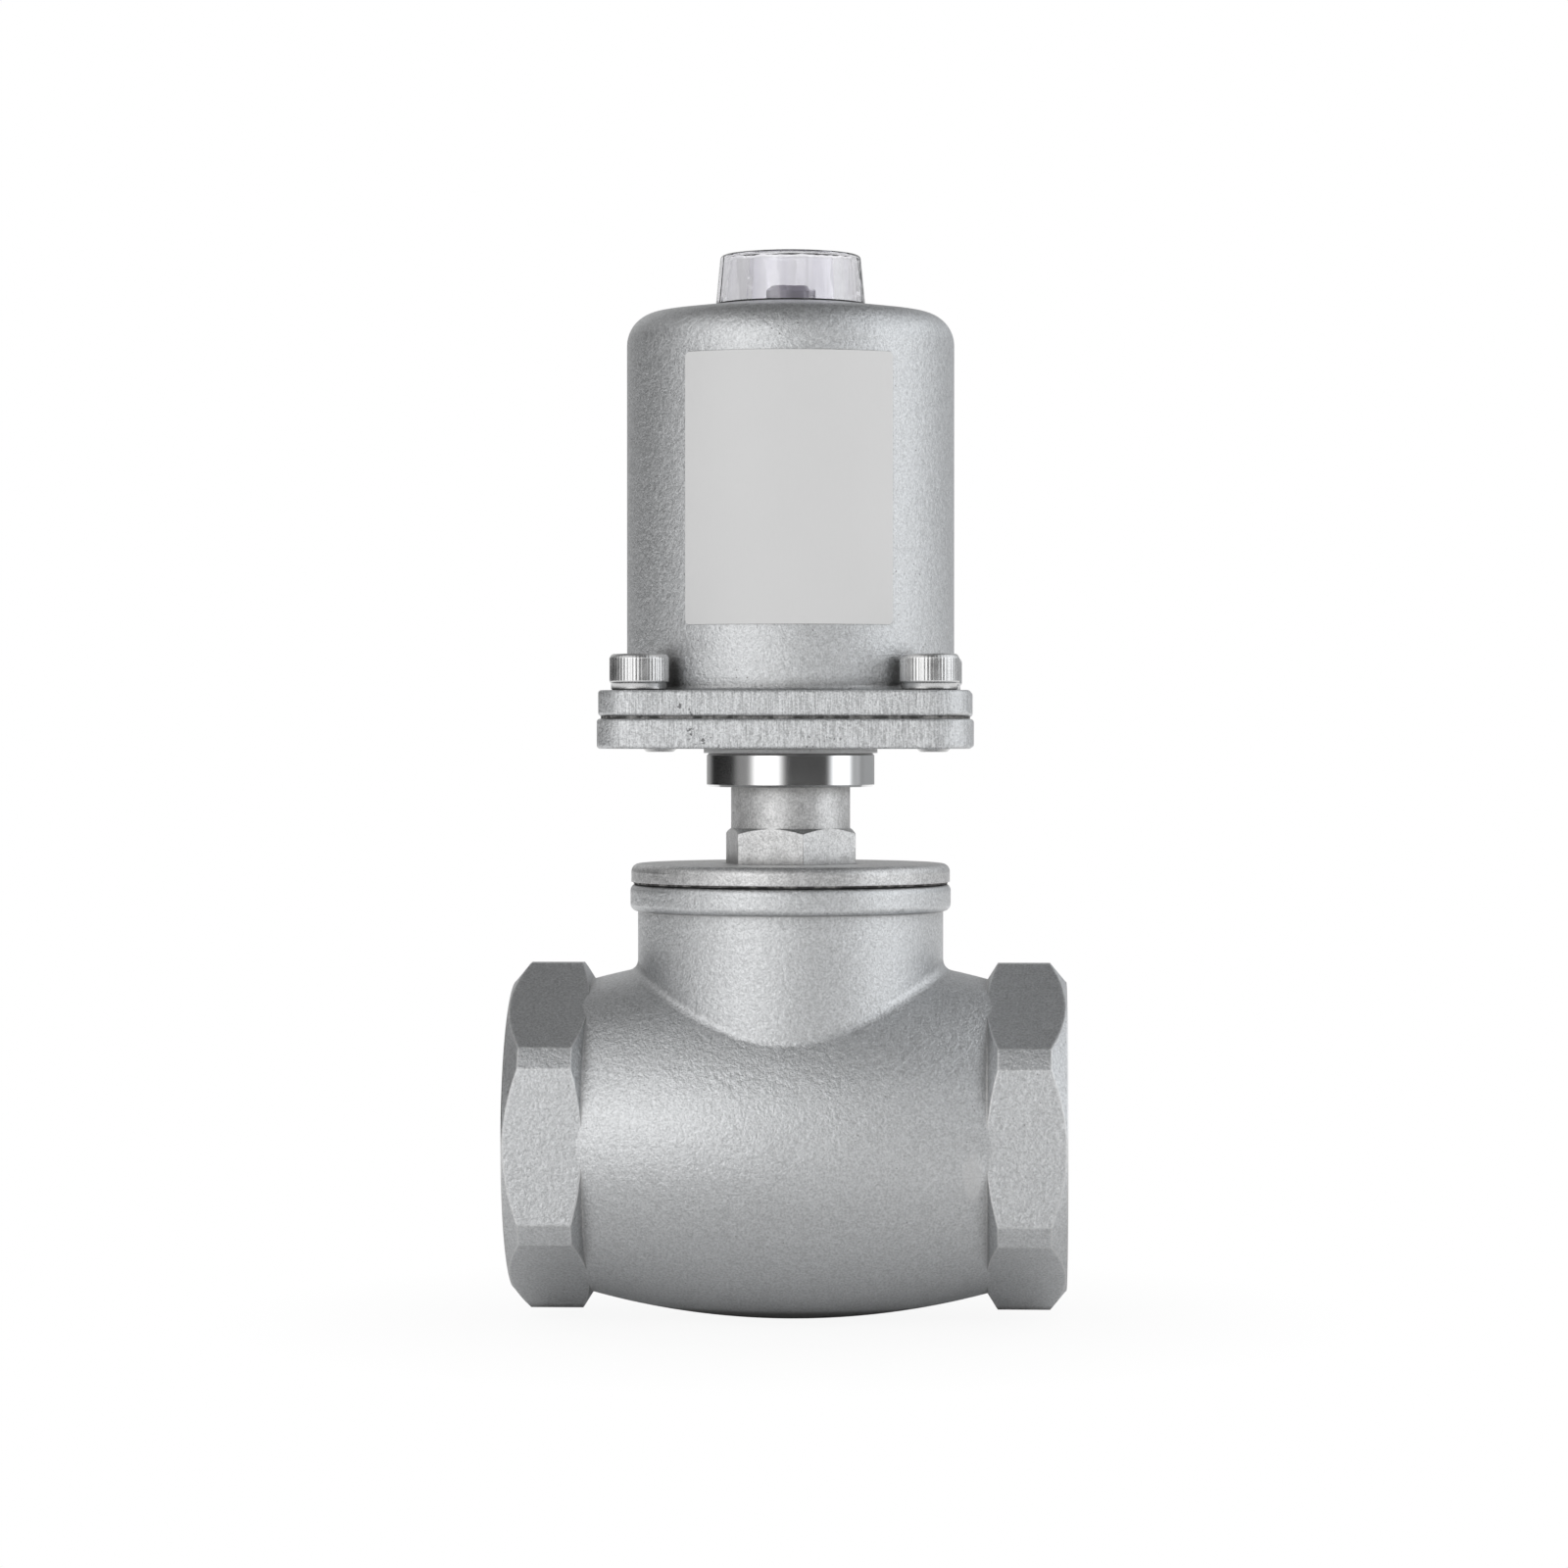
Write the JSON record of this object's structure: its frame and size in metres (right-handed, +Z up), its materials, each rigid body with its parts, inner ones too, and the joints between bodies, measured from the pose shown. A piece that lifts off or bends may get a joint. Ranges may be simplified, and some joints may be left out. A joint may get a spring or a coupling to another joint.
{
  "type": "pneumatic globe seat valve",
  "caption": "Straight stainless globe seat valve with threaded hexagon ends and a spring-return piston actuator with a clear indicator cap.",
  "frame": {"origin": "centre of the inlet port's mouth, on the pipe axis", "axes": "+X along the pipe axis in the flow direction, +Z up along the stem, +Y to the side of the air ports"},
  "size_m": [0.125, 0.0855, 0.2417],
  "materials": {
    "cast_steel": "bead-blasted stainless casting, satin",
    "cast_flange": "bead-blasted stainless casting, finer grain",
    "machined_steel": "turned stainless steel, satin",
    "polished_steel": "mirror-turned stainless steel",
    "screw_steel": "bright stainless screw, knurled head",
    "seal_ptfe": "white fluoropolymer",
    "packing_filled": "carbon-filled fluoropolymer",
    "seal_rubber": "black fluoro rubber",
    "gasket_sheet": "dark grey fibre gasket",
    "spring_steel": "drawn stainless spring wire",
    "piston_aluminium": "turned aluminium",
    "clear_plastic": "clear polycarbonate",
    "bush_plastic": "dark grey acetal",
    "indicator_plastic": "red indicator",
    "label_foil": "blank light grey foil"
  },
  "bodies": {
    "valve": {"valve_body": "cast_steel", "bonnet_gasket": "gasket_sheet", "bonnet": "machined_steel", "guide_bush": "packing_filled", "packing_spring": "spring_steel", "packing_lower_support": "machined_steel", "packing_ring_1": "seal_ptfe", "packing_ring_2": "packing_filled", "packing_ring_3": "seal_ptfe", "packing_ring_4": "packing_filled", "packing_upper_support": "machined_steel", "coupling_ring": "polished_steel", "thrust_washer": "seal_ptfe", "spigot_nut": "machined_steel", "spigot_seal": "seal_rubber", "rod_seal": "seal_rubber"},
    "actuator": {"actuator_base": "cast_flange", "flange_gasket": "gasket_sheet", "actuator_cylinder": "cast_flange", "flange_screws": "screw_steel", "indicator_bush": "bush_plastic", "indicator_cap": "clear_plastic", "cap_gasket": "seal_rubber", "return_spring": "spring_steel"},
    "stem_group": {"stem": "machined_steel", "disc": "machined_steel", "disc_seal": "seal_ptfe", "seal_retainer": "machined_steel", "disc_nut": "machined_steel", "piston": "piston_aluminium", "piston_seal": "seal_rubber", "piston_guide_band": "packing_filled", "piston_washer": "machined_steel", "piston_nut": "machined_steel", "indicator_rod": "indicator_plastic"}
  },
  "joints": [
    {"name": "stem_lift", "type": "slide", "parent": "valve", "child": "stem_group", "axis": [0, 0, 1], "range_m": [0, 0.0125], "stiffness_N_per_m": 9000, "springref_m": -0.03, "deforming": ["return_spring"]},
    {"name": "actuator_swivel", "type": "hinge", "parent": "valve", "child": "actuator", "pos_m": [0.0625, 0, 0.0867], "axis": [0, 0, 1], "continuous": true}
  ]
}
